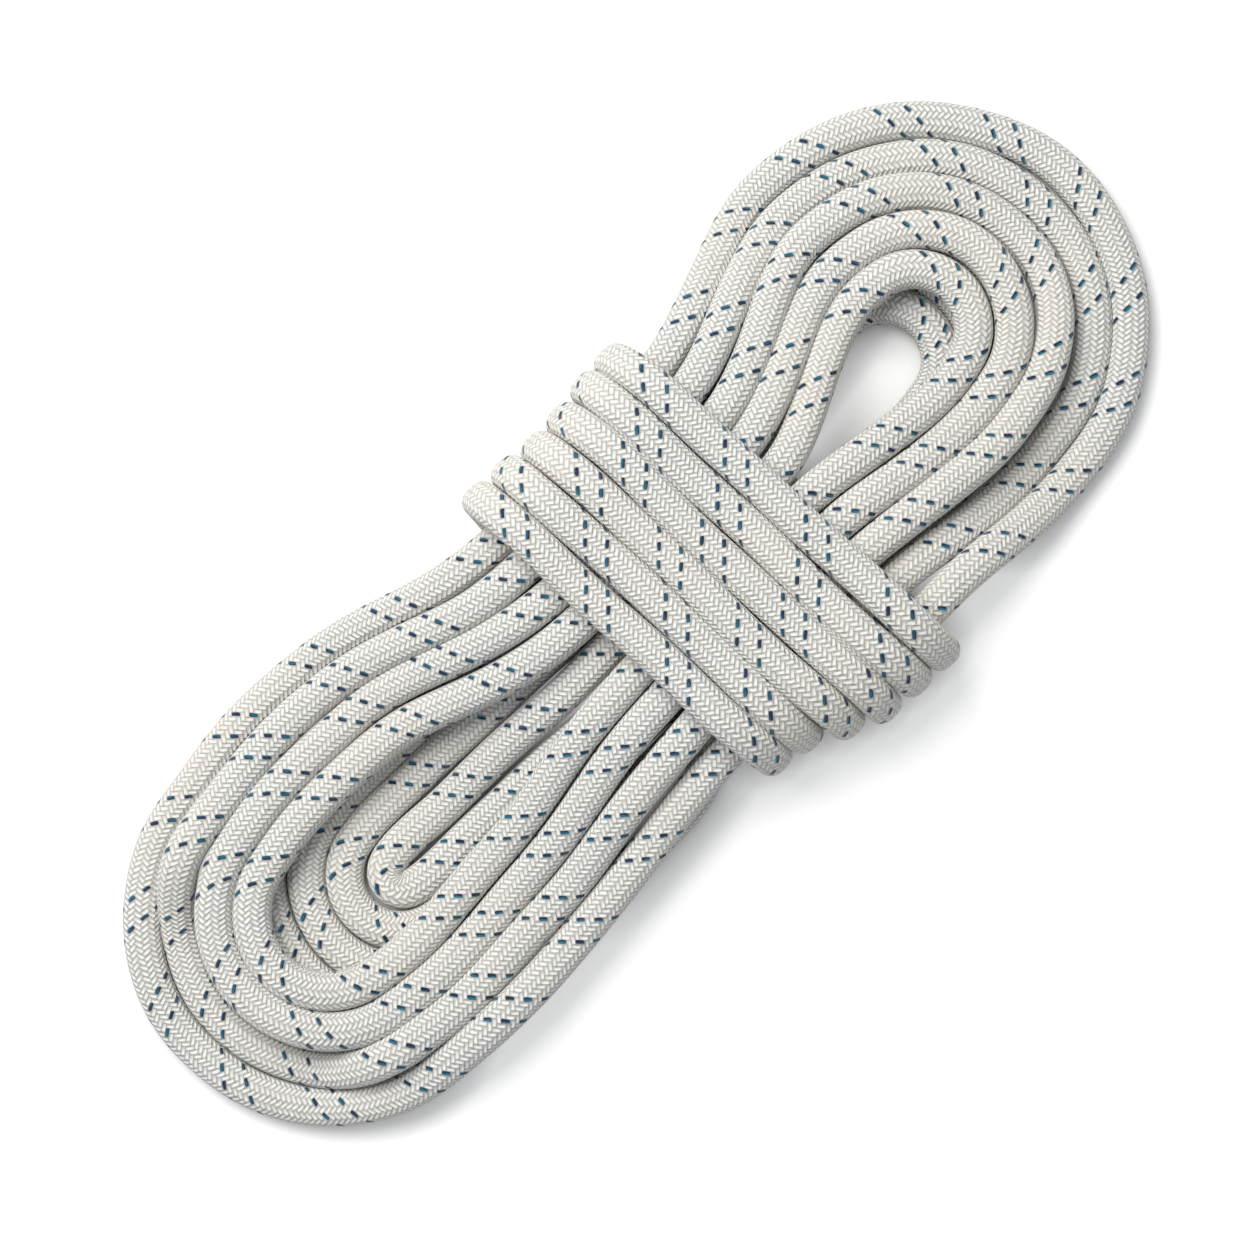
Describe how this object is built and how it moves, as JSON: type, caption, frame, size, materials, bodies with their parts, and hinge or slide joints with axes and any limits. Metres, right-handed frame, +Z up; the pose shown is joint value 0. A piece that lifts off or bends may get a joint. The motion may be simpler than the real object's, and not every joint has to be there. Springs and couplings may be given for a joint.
{
  "type": "climbing rope",
  "caption": "Kernmantle climbing rope laid in a long flat hank and bound round its waist with its own turns, the ends tucked in.",
  "frame": {"origin": "the middle of the hank's box, on the plane it lies on", "axes": "+X along the hank towards the lobe with the open eye, +Y across the hank, +Z up from the plane it lies on"},
  "size_m": [0.3768, 0.1459, 0.0423],
  "materials": {
    "rope_sheath": "woven, matte",
    "core_cord": "twisted yarn, matte",
    "fused_tip": "melted, satin"
  },
  "bodies": {
    "root": {"hank_loops": "rope_sheath", "crossover": "rope_sheath", "binding_turns": "rope_sheath", "gripped_end_sheath": "rope_sheath", "gripped_end_core_cords": "core_cord", "gripped_end_seal": "fused_tip", "tucked_end_sheath": "rope_sheath", "tucked_end_core_cords": "core_cord", "tucked_end_seal": "fused_tip"}
  },
  "joints": []
}
